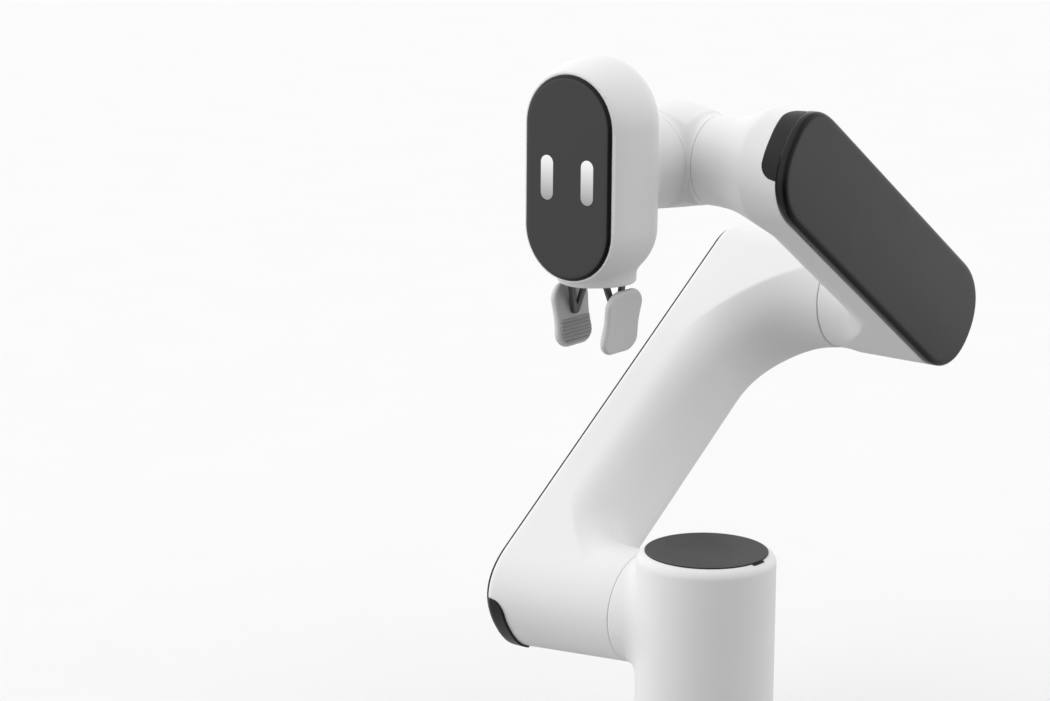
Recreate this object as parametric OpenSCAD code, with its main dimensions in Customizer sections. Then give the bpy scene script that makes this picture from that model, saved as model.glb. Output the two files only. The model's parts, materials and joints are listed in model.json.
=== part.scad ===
// Desktop robot arm: turning column, offset upper arm and forearm, turning wrist,
// a head with an oval display and a two-paddle gripper. Millimetres, +Z up, the robot
// faces -Y, and the origin is the centre of the foot on the bench.

/* [Base] */
// Diameter of the cast foot
foot_d = 212; // [206:1:230]
// Thickness of the cast foot
foot_h = 14; // [12:1:16]
// Height of the rubber ring that the foot stands on
ring_h = 4; // [3:1:5]
// Height of the seam where the column turns on the base
seam_h = 64; // [64:1:70]
// Bolt circle of the foot
bolt_pcd = 190; // [186:1:194]

/* [Column] */
// Diameter of the turning column
column_d = 100; // [98:1:104]
// Height of the shoulder axis above the bench
shoulder_h = 150; // [148:1:160]
// Height of the column's top above the shoulder axis
column_rise = 53.2; // [50:0.1:54]
// Distance from the yaw axis to the plane of the shoulder and elbow seams
joint_x = 57; // [56:0.5:60]

/* [Arm] */
// Length of the upper arm between its two axes
upper_len = 322.2; // [300:0.1:340]
// Lean of the upper arm above the horizontal, degrees
upper_tilt = 35.6; // [30:0.1:45]
// Length of the forearm between its two axes
fore_len = 224.2; // [215:0.1:240]
// Rise of the forearm above the horizontal, degrees
fore_tilt = 35.7; // [30:0.1:45]
// Width of both links across their flat panels
link_w = 84; // [82:1:88]
// Depth of the upper arm's casing from the seam plane to its panel
upper_depth = 106; // [104:1:112]
// Depth of the forearm's casing from the seam plane to its panel
fore_depth = 83; // [82:1:88]

/* [Wrist and head] */
// Distance from the yaw axis plane to the wrist seam plane
wrist_x = 54; // [53.5:0.1:55]
// Distance from the yaw axis plane to the middle of the head
head_x = 92.4; // [92:0.1:93]
// Width of the oval display
face_w = 75.6; // [74:0.2:77]
// Height of the oval display
face_h = 147.6; // [144:0.2:150]
// Depth of the head from its back to the face of the display
head_depth = 59.5; // [58:0.5:61]

/* [Gripper] */
// Height of one gripper paddle
paddle_h = 47; // [44:1:48]
// Width of one gripper paddle
paddle_w = 40; // [38:1:42]
// Thickness of one gripper paddle
paddle_t = 5.2; // [4.8:0.1:5.4]
// Teeth round the full circle of each finger gear
gear_teeth = 24; // [24:2:24]

/* [Hidden] */

$fn = 96;
wall = 2.6;          // casing wall
seam = 0.4;          // gap at each turning seam
fit = 0.05;          // radial clearance of parts that plug together
slide_fit = 0.15;    // gap round parts that only drop in
white = "whitesmoke";
black = "#26272a";
steel = "silver";
dark = "#4a4c50";

column_r = column_d / 2;
column_top = shoulder_h + column_rise;
link_r = link_w / 2;
stub_r = 40.9;       // seam radius at shoulder and elbow
wrist_r = 32.7;      // seam radius at the wrist
neck_r = 37;         // seam radius of the neck
neck_y = 45.7;       // seam plane of the neck
elbow_y = upper_len * cos(upper_tilt);
elbow_z = shoulder_h + upper_len * sin(upper_tilt);
wrist_y = elbow_y - fore_len * cos(fore_tilt);
wrist_z = elbow_z + fore_len * sin(fore_tilt);
face_y = neck_y - 33.5 - head_depth;
collar_y = face_y + 36;
collar_r = 28;
collar_z = wrist_z - 78.8;
oval_len = face_h - face_w;

// ---------- frames ----------
// In each frame +Z is the joint's axis, pointing from the parent to the child.
module at_yaw() translate([0, 0, seam_h]) children();
module at_shoulder()
    translate([-joint_x, 0, shoulder_h]) rotate([upper_tilt - 90, 0, 0])
        rotate([0, -90, 0]) children();
module at_upper_end() at_shoulder() translate([upper_len, 0, 0]) children();
module at_elbow()
    translate([-joint_x, elbow_y, elbow_z]) rotate([-90 - fore_tilt, 0, 0])
        rotate([0, 90, 0]) children();
module at_wrist()
    translate([-wrist_x, wrist_y, wrist_z]) rotate([fore_tilt - 90, 0, 0])
        rotate([0, -90, 0]) children();
module at_neck()
    translate([-head_x, neck_y, wrist_z]) rotate([90, 0, 0]) rotate([0, 0, 90]) children();
module at_gripper() translate([-head_x, collar_y, collar_z]) children();

// ---------- shared shapes ----------
module disc(r, z, h) translate([0, 0, z]) cylinder(r = r, h = h);
module ring(ro, ri, z, h)
    difference() {
        disc(ro, z, h);
        disc(ri, z - 1, h + 2);
    }
module on_circle(count, pcd, from = 0)
    for (i = [0:count - 1])
        rotate([0, 0, from + i * 360 / count]) translate([pcd / 2, 0, 0]) children();

// A solid with round ends: a half profile, turned at both ends and run between them.
module slot_solid(len) {
    rotate_extrude() children();
    translate([len, 0, 0]) rotate_extrude() children();
    rotate([90, 0, 90])
        linear_extrude(len) {
            children();
            mirror([1, 0]) children();
        }
}
module quarter(r)
    intersection() {
        circle(r);
        square(r);
    }
// Half profile of a disc whose upper edge is rounded.
module half_disc(r, z0, z1, edge) {
    translate([0, z0]) square([r, z1 - z0 - edge]);
    translate([0, z0]) square([r - edge, z1 - z0]);
    translate([r - edge, z1 - edge]) quarter(edge);
}
// Half section of a link between its ends: full width at the panel, round at the back.
module half_section(half_w, z0, z1, back_r) {
    translate([0, z0 + back_r]) square([half_w, z1 - z0 - back_r]);
    translate([0, z0]) square([half_w - back_r, z1 - z0]);
    translate([half_w - back_r, z0 + back_r]) mirror([0, 1]) quarter(back_r);
}

// ---------- drive parts, the same at every joint ----------
screw_pcd = [66, 66, 66, 50, 38];
function bore_of(i) = [47, stub_r - wall, stub_r - wall, wrist_r - wall, 26][i];
function hub_of(i) = [34, 27, 27, 20, 14][i];
function motor_len(i) = [22, 46, 46, 40, 36][i];
bearing_h = 9;
bearing_gap = 3;     // from the seam plane down to the bearing
flange_h = 4;
web_h = 3;
screw_r = 2;
hub_bore = 8;

module bearing(i) {
    bore = bore_of(i);
    difference() {
        ring(bore - fit, hub_of(i) + 0.04, -bearing_gap - bearing_h, bearing_h);
        ring(bore - 3, hub_of(i) + 3, -bearing_gap - 1, 2);
    }
}
module motor(i) {
    r = bore_of(i) - 4;
    top = -bearing_gap - bearing_h - 0.4;
    difference() {
        union() {
            ring(r, hub_bore + 2, top - motor_len(i), motor_len(i));
            ring(bore_of(i) - fit, r - 1, top - 5, 5);
        }
        for (k = [0:3]) ring(r + 1, r - 1, top - 11 - k * 3.4, 1.6);
    }
}
module flange(i) {
    difference() {
        union() {
            disc(bore_of(i) - 1, seam, flange_h);
            disc(hub_of(i), -bearing_gap - bearing_h, bearing_gap + bearing_h + seam);
        }
        disc(hub_bore, -40, 80);
        on_circle(6, screw_pcd[i]) disc(screw_r + fit, seam - 1, flange_h + 2);
    }
}
// The web inside the child's casing that the flange is screwed to.
module web(i) {
    difference() {
        disc(bore_of(i) + 1, seam + flange_h + fit, web_h);
        disc(hub_bore + 5, 0, 20);
        on_circle(6, screw_pcd[i]) disc(screw_r + fit, 0, 20);
    }
}
module flange_screws(i) {
    top = seam + flange_h + fit + web_h;
    on_circle(6, screw_pcd[i])
        difference() {
            union() {
                disc(screw_r, seam + 0.5, top - seam);
                disc(screw_r * 1.8, top + 0.02, screw_r * 1.6);
            }
            translate([0, 0, top + 1.4]) cylinder(r = screw_r, h = 3, $fn = 6);
        }
}

// ---------- base ----------
flare_r = 34;
skirt_r = column_r + flare_r;
foot_top = ring_h + foot_h;
panel_y = 86;        // face of the rear connector panel
panel_w = 74;
panel_h = 25;
panel_z = foot_top + panel_h / 2;
inlet_x = -22;
port_x = 2;
button_x = 24;
inlet_r = 8;
button_r = 6;

module foot()
    color(dark)
        difference() {
            translate([0, 0, ring_h]) rotate_extrude() half_disc(foot_d / 2, 0, foot_h, 4);
            on_circle(4, bolt_pcd, 45) disc(3.3, -1, 40);
            on_circle(4, bolt_pcd, 45) disc(6, foot_top - 7, 20);
            disc(30, -1, 40);
            disc(42, foot_top - 3, 10);
            on_circle(4, 140, 0) disc(screw_r + fit, -1, 40);
            on_circle(4, 140, 0) disc(4.2, -1, ring_h + 5.5);
            ring(86, 74, -1, ring_h + 2);
        }
module foot_ring() color(black) ring(85.9, 74.1, 0, ring_h + 0.95);

module skirt_profile(grow) {
    r = flare_r + grow;
    difference() {
        square([skirt_r - grow, seam_h - foot_top]);
        translate([skirt_r, flare_r]) circle(r);
        translate([column_r - grow, flare_r]) square([skirt_r, seam_h]);
    }
}
module base_shell()
    color(white)
        difference() {
            union() {
                translate([0, 0, foot_top]) rotate_extrude() skirt_profile(0);
                disc(column_r, foot_top + 20, seam_h - seam / 2 - foot_top - 20);
                translate([-panel_w / 2, 30, foot_top]) cube([panel_w, panel_y - 30, panel_h]);
            }
            translate([0, 0, foot_top - 0.01]) rotate_extrude() skirt_profile(wall);
            disc(bore_of(0), foot_top + 15, seam_h);
            translate([wall - panel_w / 2, 30, foot_top - 1])
                cube([panel_w - 2 * wall, panel_y - 30 - wall, panel_h + 1 - wall]);
            disc(skirt_r + 50, seam_h - seam / 2, 20);
            on_circle(4, 140, 0) disc(screw_r + fit, foot_top - 1, 3.2);
            translate([inlet_x, panel_y, panel_z]) rotate([90, 0, 0]) disc(inlet_r + fit, -1, 10);
            translate([port_x - 8, panel_y - 9, panel_z - 7]) cube([16, 20, 14]);
            translate([button_x, panel_y, panel_z]) rotate([90, 0, 0])
                disc(button_r + 0.3, -1, 10);
        }
module base_screws()
    color(steel)
        on_circle(4, 140, 0)
            difference() {
                union() {
                    disc(screw_r, ring_h + 4, foot_top - ring_h - 2);
                    disc(3.6, ring_h + 1, 3.4);
                }
                translate([0, 0, ring_h]) cylinder(r = screw_r, h = 3, $fn = 6);
            }
module yaw_motor() color(steel) at_yaw() motor(0);
module yaw_bearing() color(steel) at_yaw() bearing(0);
module base_board()
    color("darkgreen") {
        ring(62, 46, foot_top + 1, 1.6);
        for (a = [20:40:340])
            rotate([0, 0, a]) translate([52, -4, foot_top + 2.6]) cube([8, 8, 1.4]);
    }
module power_inlet()
    color(black)
        translate([inlet_x, panel_y, panel_z]) rotate([90, 0, 0])
            difference() {
                union() {
                    disc(inlet_r, -1.2, 22);
                    disc(inlet_r + 2, -2, 1.95);
                }
                disc(inlet_r - 2, -3, 14);
            }
module data_port()
    color(steel)
        translate([port_x, panel_y, panel_z])
            difference() {
                translate([-7.85, -18, -6.85]) cube([15.7, 18.4, 13.7]);
                translate([-6, -12, -5]) cube([12, 20, 9]);
            }
module power_button()
    color(dark)
        translate([button_x, panel_y, panel_z]) rotate([90, 0, 0]) {
            disc(button_r, -2.4, 7);
            disc(button_r + 1.4, wall + 0.1 + 1.7, 2);
        }

// ---------- column ----------
lid_r = 44.3;
lid_plug_r = 38;
lid_h = 0.6;
lid_edge = 0.4;
tab_angle = 12;
tab_drop = 4;
top_edge = 6;
tab_w = 3;           // thickness of the tabs that wrap over a casing's edge

module tab_block(angle, ri, ro, z, h)
    rotate([0, 0, -angle])
        rotate_extrude(angle = 2 * angle) translate([ri, z]) square([ro - ri, h]);

module column_shell()
    color(white)
        difference() {
            union() {
                rotate_extrude()
                    half_disc(column_r, seam_h + seam / 2, column_top, top_edge);
                translate([0, 0, shoulder_h]) rotate([0, -90, 0])
                    disc(stub_r, 0, joint_x - seam / 2);
                at_yaw() web(0);
            }
            difference() {
                disc(column_r - wall, seam_h - 1, column_top - seam_h - 4);
                at_yaw() web(0);
            }
            disc(lid_plug_r + slide_fit, column_top - 10, 20);
            translate([0, 0, shoulder_h]) rotate([0, -90, 0])
                disc(bore_of(1), 0, joint_x + 5);
            tab_block(tab_angle + 0.3, column_r - tab_w - slide_fit, column_r + 5,
                column_top - tab_drop - slide_fit, 20);
        }
// The lid's tab: a shell over the column's rounded rim that ends in a block let into it.
module lid_tab()
    difference() {
        intersection() {
            rotate_extrude()
                half_disc(column_r - 0.1, seam_h, column_top + fit + lid_h, top_edge);
            tab_block(tab_angle, lid_r - 2, column_r, column_top - tab_drop, 20);
        }
        rotate_extrude()
            intersection() {
                half_disc(column_r, seam_h, column_top + fit, top_edge);
                square([column_r - tab_w, 2 * column_top]);
            }
    }
module top_cover()
    color(black)
        difference() {
            union() {
                translate([0, 0, column_top + fit])
                    rotate_extrude() half_disc(lid_r, 0, lid_h, lid_edge);
                disc(lid_plug_r, column_top - 4, 4.2);
                lid_tab();
            }
            disc(lid_plug_r - 2, column_top - 5, 5);
        }
module yaw_flange() color(steel) at_yaw() flange(0);
module yaw_screws() color(steel) at_yaw() flange_screws(0);
module shoulder_motor() color(steel) at_shoulder() motor(1);
module shoulder_bearing() color(steel) at_shoulder() bearing(1);

// ---------- upper arm ----------
upper_back = 49;     // from the seam plane to the back of the casing between its stubs
fore_back = 36;
back_r = 30;
rim_edge = 5;
cover_r = 37;

module upper_arm_shell()
    color(white)
        difference() {
            union() {
                at_shoulder() rotate_extrude() half_disc(link_r, seam / 2, upper_depth, rim_edge);
                at_upper_end() rotate_extrude()
                    half_disc(link_r, seam / 2, upper_depth, rim_edge);
                at_shoulder() rotate([90, 0, 90]) linear_extrude(upper_len) {
                    upper_section(0);
                    mirror([1, 0]) upper_section(0);
                }
            }
            difference() {
                union() {
                    at_shoulder() disc(stub_r - wall, -1, upper_depth + 5);
                    at_upper_end() disc(stub_r - wall, -1, upper_depth - 3);
                    at_shoulder() rotate([90, 0, 90]) linear_extrude(upper_len) {
                        upper_section(wall);
                        mirror([1, 0]) upper_section(wall);
                    }
                    at_shoulder() translate([0, 0, upper_depth - 6]) linear_extrude(20)
                        slot_outline(cover_r - 3, upper_len);
                }
                at_shoulder() web(1);
            }
            at_shoulder() rotate([0, 0, tab_turn]) tab_block(tab_reach + 0.5, link_r - tab_w,
                link_r + 5, upper_depth - tab_deep - slide_fit, 40);
        }
module upper_section(inset)
    difference() {
        union() {
            half_section(link_r - inset, upper_back + inset, upper_depth - rim_edge,
                back_r - inset);
            if (inset == 0) {
                translate([0, upper_depth - 15]) square([link_r - rim_edge, 15]);
                translate([link_r - rim_edge, upper_depth - rim_edge]) quarter(rim_edge);
            }
        }
        translate([-2 * link_r, 0]) square([2 * link_r, 2 * upper_depth]);
    }
module slot_outline(r, len) {
    circle(r);
    translate([len, 0]) circle(r);
    translate([0, -r]) square([len, 2 * r]);
}
tab_turn = 171;      // where the shoulder's tab points, round its axis
tab_reach = 38;
tab_deep = 13;
module upper_arm_cover()
    color(black)
        at_shoulder() {
            translate([0, 0, upper_depth + 0.05])
                slot_solid(upper_len) half_disc(cover_r, 0, 3.2, 2);
            rotate([0, 0, tab_turn]) {
                tab_block(tab_reach, link_r - tab_w + slide_fit, link_r - 0.2,
                    upper_depth - tab_deep, tab_deep + 1);
                tab_block(tab_reach, cover_r - 6, link_r - 0.2, upper_depth + 0.05, 1.5);
            }
        }
module shoulder_flange() color(steel) at_shoulder() flange(1);
module shoulder_screws() color(steel) at_shoulder() flange_screws(1);
module elbow_motor() color(steel) at_elbow() motor(2);
module elbow_bearing() color(steel) at_elbow() bearing(2);

// ---------- forearm ----------
fore_stub = wrist_x - joint_x;   // the wrist seam lies this far from the elbow seam
cover_t = 8.6;
fore_tab_turn = -7;
fore_tab_reach = 45;
fore_tab_deep = 12.5;

module wrist_end(inset, z0, z1)
    rotate_extrude()
        polygon([[0, z0], [wrist_r - inset, z0], [wrist_r - inset + 0.6, 14],
            [wrist_r - inset + 3.2, 30], [link_r - inset, 52], [link_r - inset, z1], [0, z1]]);
module fore_section(inset)
    difference() {
        half_section(link_r - inset, fore_back + inset, fore_depth + (inset > 0 ? 5 : 0),
            back_r - inset);
        translate([-2 * link_r, 0]) square([2 * link_r, 2 * fore_depth]);
    }
module forearm_shell()
    color(white)
        difference() {
            union() {
                at_elbow() disc(link_r, seam / 2, fore_depth - seam / 2);
                at_elbow() translate([fore_len, 0, 0])
                    wrist_end(0, -fore_stub + seam / 2, fore_depth);
                at_elbow() rotate([90, 0, 90]) linear_extrude(fore_len) {
                    fore_section(0);
                    mirror([1, 0]) fore_section(0);
                }
            }
            difference() {
                union() {
                    at_elbow() disc(stub_r - wall, -1, fore_depth + 5);
                    at_elbow() translate([fore_len, 0, 0]) wrist_end(wall, -8, fore_depth + 5);
                    at_elbow() rotate([90, 0, 90]) linear_extrude(fore_len) {
                        fore_section(wall);
                        mirror([1, 0]) fore_section(wall);
                    }
                }
                at_elbow() web(2);
            }
            at_elbow() translate([fore_len, 0, 0]) rotate([0, 0, fore_tab_turn])
                tab_block(fore_tab_reach + 0.5, link_r - tab_w, link_r + 5,
                    fore_depth - fore_tab_deep - slide_fit, 40);
        }
module forearm_cover()
    color(black)
        at_elbow() {
            translate([0, 0, fore_depth + 0.05])
                slot_solid(fore_len) half_disc(link_r, 0, cover_t, 3.4);
            translate([fore_len, 0, 0]) rotate([0, 0, fore_tab_turn])
                tab_block(fore_tab_reach, link_r - tab_w + slide_fit, link_r - 0.01,
                    fore_depth - fore_tab_deep, fore_tab_deep + 2);
        }
module elbow_flange() color(steel) at_elbow() flange(2);
module elbow_screws() color(steel) at_elbow() flange_screws(2);
module wrist_motor() color(steel) at_wrist() motor(3);
module wrist_bearing() color(steel) at_wrist() bearing(3);
module forearm_board()
    color("darkgreen")
        at_elbow() {
            translate([55, -24, fore_depth - 14]) cube([110, 48, 1.6]);
            for (i = [0:3]) translate([63 + i * 25, -8, fore_depth - 12.4]) cube([16, 16, 3]);
        }

// ---------- wrist ----------
wrist_stub = head_x - wrist_x;
module wrist_shape(inset)  {
    translate([-head_x, wrist_y, wrist_z]) {
        sphere(neck_r - inset);
        rotate([90, 0, 0]) disc(neck_r - inset, 0, wrist_y - neck_y - seam / 2 + inset);
        rotate([0, 90, 0]) disc(wrist_r - inset, 0, wrist_stub - seam / 2 + inset);
    }
}
module wrist_shell()
    color(white)
        difference() {
            wrist_shape(0);
            difference() {
                wrist_shape(wall);
                at_wrist() web(3);
                difference() {
                    at_neck() ring(neck_r, bore_of(4), -bearing_gap - bearing_h - 6, 16);
                    at_wrist() disc(bore_of(3) - 0.4, -1, 12.5);
                }
            }
        }
module wrist_flange() color(steel) at_wrist() flange(3);
module wrist_screws() color(steel) at_wrist() flange_screws(3);
module head_motor() color(steel) at_neck() motor(4);
module head_bearing() color(steel) at_neck() bearing(4);

// ---------- head ----------
back_h = 33.5;       // from the neck seam to the back of the head
glass_t = 3.6;
rim_h = back_h + head_depth - glass_t;
head_r = 43.6;       // greatest half width of the casing
rim_r = face_w / 2 + 0.7;
eye_gap = 35.4;
eye_w = 10.8;
eye_h = 32;
eye_t = 0.8;

module at_oval() at_neck() translate([-oval_len / 2, 0, 0]) children();
module head_profile(inset) {
    r = head_r - inset;
    edge = 19 - inset;
    translate([0, back_h + inset]) square([r - edge, 30]);
    translate([r - edge, back_h + 19]) circle(edge);
    translate([0, back_h + 19]) square([r, 13]);
    polygon([[0, back_h + 30], [r, back_h + 32], [r - 1.2, rim_h - 14],
        [rim_r + 1.6 - inset, rim_h - 4], [rim_r - inset, rim_h], [0, rim_h]]);
}
module half_of(w) intersection() {
    children();
    translate([0, -10]) square([w, 400]);
}
module head_solid(inset) at_oval() slot_solid(oval_len) half_of(100) head_profile(inset);
module head_shell()
    color(white)
        difference() {
            union() {
                head_solid(0);
                at_neck() disc(neck_r, seam / 2, back_h + 6);
                at_gripper() disc(collar_r, 0, 24);
            }
            difference() {
                union() {
                    head_solid(wall);
                    at_neck() disc(neck_r - wall, -1, back_h + 10);
                    at_gripper() disc(collar_r - wall, -1, 25);
                    at_oval() translate([0, 0, rim_h - 5]) linear_extrude(20)
                        slot_outline(rim_r - wall, oval_len);
                }
                at_neck() difference() {
                    disc(neck_r - 1, seam + flange_h + fit, web_h);
                    disc(hub_bore + 5, 0, 20);
                    on_circle(6, screw_pcd[4]) disc(screw_r + fit, 0, 20);
                }
            }
        }
module display_glass()
    color(black)
        at_oval()
            difference() {
                translate([0, 0, rim_h + 0.05])
                    slot_solid(oval_len) half_disc(face_w / 2, 0, glass_t, 2.2);
                for (side = [-1, 1])
                    translate([oval_len / 2 - 1, side * eye_gap / 2, rim_h + glass_t - eye_t])
                        eye_slot(eye_w / 2 + 0.02, 5);
            }
module eye_slot(r, h)
    translate([-(eye_h / 2 - eye_w / 2), 0, 0]) linear_extrude(h)
        slot_outline(r, eye_h - eye_w);
module eyes()
    color("white")
        at_oval()
            for (side = [-1, 1])
                translate([oval_len / 2 - 1, side * eye_gap / 2, rim_h + glass_t - eye_t + 0.02])
                    eye_slot(eye_w / 2, eye_t);
module display_panel()
    color(dark)
        at_neck() translate([-54, -27, rim_h - 4.5]) cube([108, 54, 4.4]);
module head_flange() color(steel) at_neck() flange(4);
module head_screws() color(steel) at_neck() flange_screws(4);
module head_board()
    color("darkgreen")
        at_neck() {
            translate([-34, -30, rim_h - 14]) cube([80, 60, 1.6]);
            for (i = [0:2]) translate([-26 + i * 24, -9, rim_h - 17]) cube([16, 18, 3]);
        }

// ---------- gripper ----------
gear_module = 1.2;
pitch_r = gear_module * gear_teeth / 2;
pivot_x = pitch_r;
pivot_z = 10;
pin_r = 1.5;
ear_y = 13;          // distance of the fork's ears from the middle
ear_t = 5;
apex_x = 18.5;       // where the fork meets the paddle
apex_z = -24.2;
paddle_tilt = 8.5;
pinion_teeth = 10;
pinion_r = gear_module * pinion_teeth / 2;
gear_t = 5;

// A spur gear's outline with straight flanks, thin enough to run freely.
module gear_outline(teeth, turn) {
    r = gear_module * teeth / 2;
    root = r - 1.25 * gear_module;
    tip = r + 0.9 * gear_module;
    circle(root + 0.01);
    for (i = [0:teeth - 1])
        rotate(turn + i * 360 / teeth)
            polygon([[root - 0.5, -1.12], [root, -1.12], [r, -0.82], [tip, -0.3],
                [tip, 0.3], [r, 0.82], [root, 1.12], [root - 0.5, 1.12]]);
}
module wedge(from, to, r)
    polygon(concat([[0, 0]], [for (a = [from:(to - from) / 8:to]) [r * cos(a), r * sin(a)]]));

// Everything on a finger is drawn for the right one, +X, and mirrored for the left.
module finger(side) at_gripper() mirror([side < 0 ? 1 : 0, 0, 0]) children();
module fork_arm(y_from, y_to) {
    steps = [[pivot_x, y_from, pivot_z], [apex_x, y_to, apex_z]];
    hull()
        for (p = steps) translate(p) rotate([0, 90, 0]) cylinder(r = 2.9, h = 3, center = true,
            $fn = 24);
}
module fork(side)
    color(dark)
        finger(side)
            difference() {
                union() {
                    for (s = [-1, 1]) {
                        fork_arm(s * ear_y, s * 2);
                        translate([pivot_x, s * ear_y, pivot_z]) rotate([90, 0, 0])
                            cylinder(r = 3.4, h = ear_t, center = true);
                    }
                    translate([pivot_x, 0, pivot_z]) rotate([90, 0, 0])
                        cylinder(r = 3.4, h = 2 * ear_y, center = true);
                }
                translate([pivot_x, 0, pivot_z]) rotate([90, 0, 0])
                    cylinder(r = pin_r + 0.04, h = 60, center = true);
                translate([pivot_x, 0, pivot_z]) rotate([90, 0, 0])
                    cylinder(r = 8, h = gear_t + 0.2, center = true);
                paddle_space();
            }
// The half space behind the paddle's inner face.
module paddle_frame() translate([apex_x, 0, apex_z]) rotate([0, paddle_tilt, 0]) children();
module paddle_space() paddle_frame() translate([1.4, -40, -40]) cube([40, 80, 80]);
module left_fork() fork(-1);
module right_fork() fork(1);

module finger_gear(side, turn)
    color(steel)
        finger(side)
            translate([pivot_x, 0, pivot_z]) rotate([90, 0, 0])
                translate([0, 0, -gear_t / 2])
                    linear_extrude(gear_t)
                        difference() {
                            union() {
                                intersection() {
                                    gear_outline(gear_teeth, turn);
                                    wedge(84, 214, 30);
                                }
                                circle(7);
                            }
                            circle(pin_r + 0.04);
                        }
module left_gear() finger_gear(-1, 0);
module right_gear() finger_gear(1, 180 / gear_teeth);

// The pinion stands over the left gear, on the line between the two centres' verticals.
pinion_x = -pivot_x + (pitch_r + pinion_r) * sin(20);
pinion_z = pivot_z + (pitch_r + pinion_r) * cos(20);
pinion_turn = 4;     // degrees, puts its gap on the left gear's tooth
module drive_pinion()
    color("goldenrod")
        at_gripper() translate([pinion_x, 0, pinion_z]) rotate([90, 0, 0])
            translate([0, 0, -gear_t / 2 - 9]) {
                linear_extrude(gear_t + 9) circle(1.5);
                translate([0, 0, 9]) linear_extrude(gear_t) gear_outline(pinion_teeth, pinion_turn);
            }
module gripper_motor()
    color(steel)
        at_gripper() translate([pinion_x, 0, pinion_z]) rotate([-90, 0, 0]) {
            difference() {
                disc(8, gear_t / 2 + 1, 16);
                disc(1.54, 0, 14);
            }
        }
module hinge_pins()
    color(steel)
        at_gripper()
            for (s = [-1, 1])
                translate([s * pivot_x, 0, pivot_z]) rotate([90, 0, 0])
                    cylinder(r = pin_r, h = 2 * ear_y + ear_t + 7, center = true);
module gripper_frame()
    color(dark)
        at_gripper()
            difference() {
                intersection() {
                    union() {
                        for (s = [-1, 1])
                            translate([-30, s * (ear_y + ear_t / 2 + 2.3) - 1.5, 0.5])
                                cube([60, 3, 19]);
                        ring(collar_r, 19.9, 16, 3.5);
                    }
                    disc(collar_r - wall - slide_fit, 0, 30);
                }
                for (s = [-1, 1])
                    translate([s * pivot_x, 0, pivot_z]) rotate([90, 0, 0])
                        cylinder(r = pin_r + 0.02, h = 60, center = true);
            }

// Outline of a paddle, in its own plane: wide at both ends, with a waist between.
module paddle_outline(grow) {
    wide = paddle_w / 2 - 13 + grow / 2;
    difference() {
        union() {
            for (s = [-1, 1], t = [-1, 1])
                translate([t * (paddle_h / 2 - 13), s * wide]) circle(13 + grow / 2);
            translate([-(paddle_h / 2 - 13), -paddle_w / 2 - grow])
                square([paddle_h - 26, paddle_w + 2 * grow]);
            translate([-paddle_h / 2 - grow, -wide]) square([paddle_h + 2 * grow, 2 * wide]);
        }
        for (s = [-1, 1]) translate([6, s * (paddle_w / 2 + 26)]) circle(26.8);
    }
}
module paddle(side)
    color("gainsboro")
        finger(side) paddle_frame() rotate([0, 90, 0]) translate([2, 0, 1.45])
            linear_extrude(paddle_t) paddle_outline(0);
module pad(side)
    color("darkgray")
        finger(side) paddle_frame() rotate([0, 90, 0]) {
            for (k = [0:5])
                translate([8 + k * 2.7, 0, 0.2]) linear_extrude(1.2)
                    square([1.5, 30 - k * 1.8], center = true);
            translate([6.5, -15.5, 0.6]) cube([15, 31, 0.8]);
        }
module left_paddle() paddle(-1);
module right_paddle() paddle(1);
module left_pad() pad(-1);
module right_pad() pad(1);

foot();
foot_ring();
base_shell();
base_screws();
yaw_motor();
yaw_bearing();
base_board();
power_inlet();
data_port();
power_button();
column_shell();
top_cover();
yaw_flange();
yaw_screws();
shoulder_motor();
shoulder_bearing();
upper_arm_shell();
upper_arm_cover();
shoulder_flange();
shoulder_screws();
elbow_motor();
elbow_bearing();
forearm_shell();
forearm_cover();
elbow_flange();
elbow_screws();
wrist_motor();
wrist_bearing();
forearm_board();
wrist_shell();
wrist_flange();
wrist_screws();
head_motor();
head_bearing();
head_shell();
display_glass();
display_panel();
eyes();
head_flange();
head_screws();
head_board();
gripper_frame();
gripper_motor();
hinge_pins();
drive_pinion();
left_fork();
left_gear();
left_paddle();
left_pad();
right_fork();
right_gear();
right_paddle();
right_pad();
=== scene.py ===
"""Looks of the desktop robot arm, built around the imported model. Shapes are in millimetres here."""
import json
import math

import bpy
import numpy as np
from mathutils import Matrix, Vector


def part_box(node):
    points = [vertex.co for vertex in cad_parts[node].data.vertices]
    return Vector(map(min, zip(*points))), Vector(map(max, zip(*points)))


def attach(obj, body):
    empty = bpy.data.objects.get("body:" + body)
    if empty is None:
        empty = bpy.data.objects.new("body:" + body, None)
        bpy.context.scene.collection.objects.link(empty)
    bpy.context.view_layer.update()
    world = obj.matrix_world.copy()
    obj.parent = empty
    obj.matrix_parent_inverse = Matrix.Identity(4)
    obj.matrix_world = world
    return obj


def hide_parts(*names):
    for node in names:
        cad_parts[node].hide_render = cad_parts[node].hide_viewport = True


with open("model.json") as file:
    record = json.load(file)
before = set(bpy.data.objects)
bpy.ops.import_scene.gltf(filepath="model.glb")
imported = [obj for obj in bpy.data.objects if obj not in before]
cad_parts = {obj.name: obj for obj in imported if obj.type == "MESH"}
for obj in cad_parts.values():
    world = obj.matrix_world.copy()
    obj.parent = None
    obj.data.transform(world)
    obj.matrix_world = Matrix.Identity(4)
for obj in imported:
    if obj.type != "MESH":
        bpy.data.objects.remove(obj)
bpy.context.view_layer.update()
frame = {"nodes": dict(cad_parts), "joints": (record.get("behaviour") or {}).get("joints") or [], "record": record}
NODES = frame["nodes"]
JOINTS = {j["name"]: j for j in frame["joints"]}
MM = 0.001


# ---------- places, from the frame ----------
def unit(v):
    v = np.asarray(v, float)
    return v / np.linalg.norm(v)


def pivot(joint):
    return np.array(JOINTS[joint]["pos_m"]) / MM


def box_middle(node):
    low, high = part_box(node)
    return (np.array(low) + high) / 2 / MM


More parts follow.
